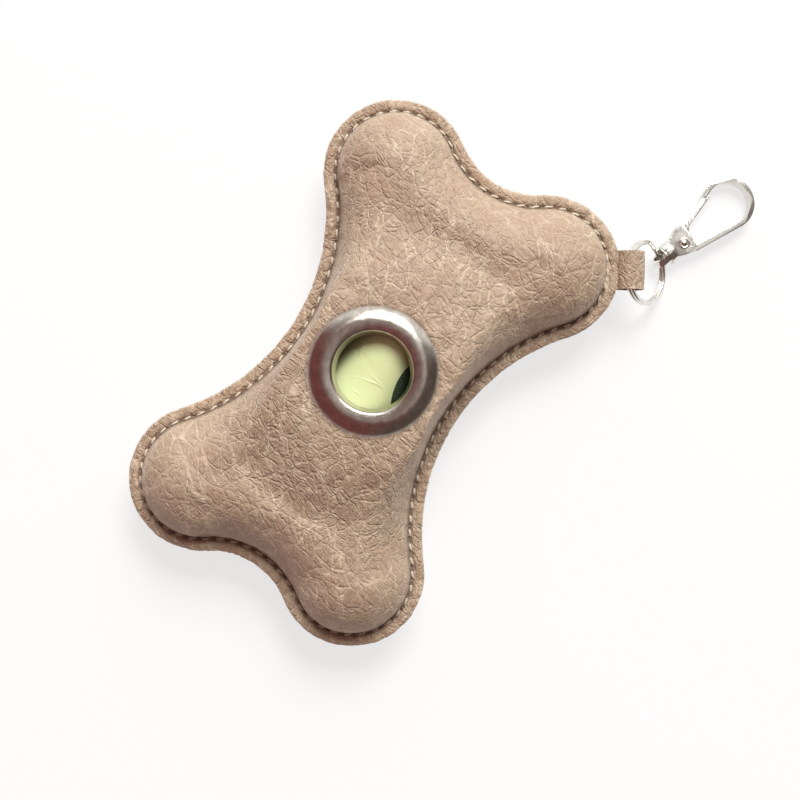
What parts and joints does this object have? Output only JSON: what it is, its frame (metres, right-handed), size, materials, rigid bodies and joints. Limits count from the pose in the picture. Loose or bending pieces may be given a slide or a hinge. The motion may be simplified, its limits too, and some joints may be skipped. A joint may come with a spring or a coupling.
{
  "type": "bag dispenser pouch",
  "caption": "Bone-shaped leather pouch with a zipped back, a metal eyelet that bags are pulled through, and a swivel snap hook on a split ring.",
  "frame": {"origin": "under the middle of the whole object's box, on the plane that the four lobes lie on", "axes": "+X along the bone towards the tab's end, +Y across it away from the tab, +Z out of the front panel through the eyelet"},
  "size_m": [0.1962, 0.1262, 0.0402],
  "materials": {
    "leather": "pebbled, satin",
    "thread": "waxed thread",
    "eyelet_nickel": "satin nickel",
    "bright_nickel": "bright nickel",
    "bag_film": "thin film, soft sheen",
    "cardboard": "plain card",
    "spring_steel": "drawn wire",
    "zip_tape": "woven tape",
    "zip_metal": "nickel plated"
  },
  "bodies": {
    "pouch": {"front_panel": "leather", "back_panel_left": "leather", "back_panel_right": "leather", "seam_thread": "thread", "eyelet_front": "eyelet_nickel", "eyelet_back": "eyelet_nickel", "tab_strap": "leather", "zip_tape_left": "zip_tape", "zip_tape_right": "zip_tape", "zip_teeth_left": "zip_metal", "zip_teeth_right": "zip_metal", "zip_stop_top": "zip_metal", "zip_stop_bottom": "zip_metal", "zip_thread_left": "thread", "zip_thread_right": "thread"},
    "roll": {"bag_roll": "bag_film", "roll_core": "cardboard"},
    "ring": {"split_ring": "bright_nickel"},
    "eye": {"swivel_eye": "bright_nickel"},
    "hook": {"hook_body": "bright_nickel", "gate_rivet": "bright_nickel", "gate_spring": "spring_steel"},
    "gate": {"hook_gate": "bright_nickel"},
    "slider": {"zip_slider": "zip_metal"},
    "pull": {"zip_pull": "zip_metal"}
  },
  "joints": [
    {"name": "roll_spin", "type": "hinge", "parent": "pouch", "child": "roll", "pos_m": [-0.01812, 0.01216, 0.02095], "axis": [1, 0, 0], "continuous": true},
    {"name": "ring_swing", "type": "hinge", "parent": "pouch", "child": "ring", "pos_m": [0.05258, -0.03865, 0.016], "axis": [-0.8572, -0.515, 0], "range_deg": [-15, 70]},
    {"name": "eye_swing", "type": "hinge", "parent": "ring", "child": "eye", "pos_m": [0.06273, -0.04612, 0.00352], "axis": [-0.3011, -0.8671, -0.3968], "range_deg": [-35, 50]},
    {"name": "hook_swivel", "type": "hinge", "parent": "eye", "child": "hook", "pos_m": [0.07101, -0.04881, 0.00359], "axis": [0.95, -0.3087, -0.0464], "continuous": true},
    {"name": "gate_open", "type": "hinge", "parent": "hook", "child": "gate", "pos_m": [0.07082, -0.04938, 0.00359], "axis": [-0.0441, 0.0143, -0.9989], "range_deg": [0, 26], "stiffness_Nm_per_rad": 0.006, "springref_deg": -20.05, "deforming": ["gate_spring"]},
    {"name": "zip_slide", "type": "slide", "parent": "pouch", "child": "slider", "axis": [1, 0, 0], "range_m": [-0.085, 0], "deforming": ["zip_teeth_left", "zip_teeth_right"]},
    {"name": "pull_flip", "type": "hinge", "parent": "slider", "child": "pull", "pos_m": [0.02468, 0.01216, 0.0019], "axis": [0, -1, 0], "range_deg": [0, 110]}
  ]
}
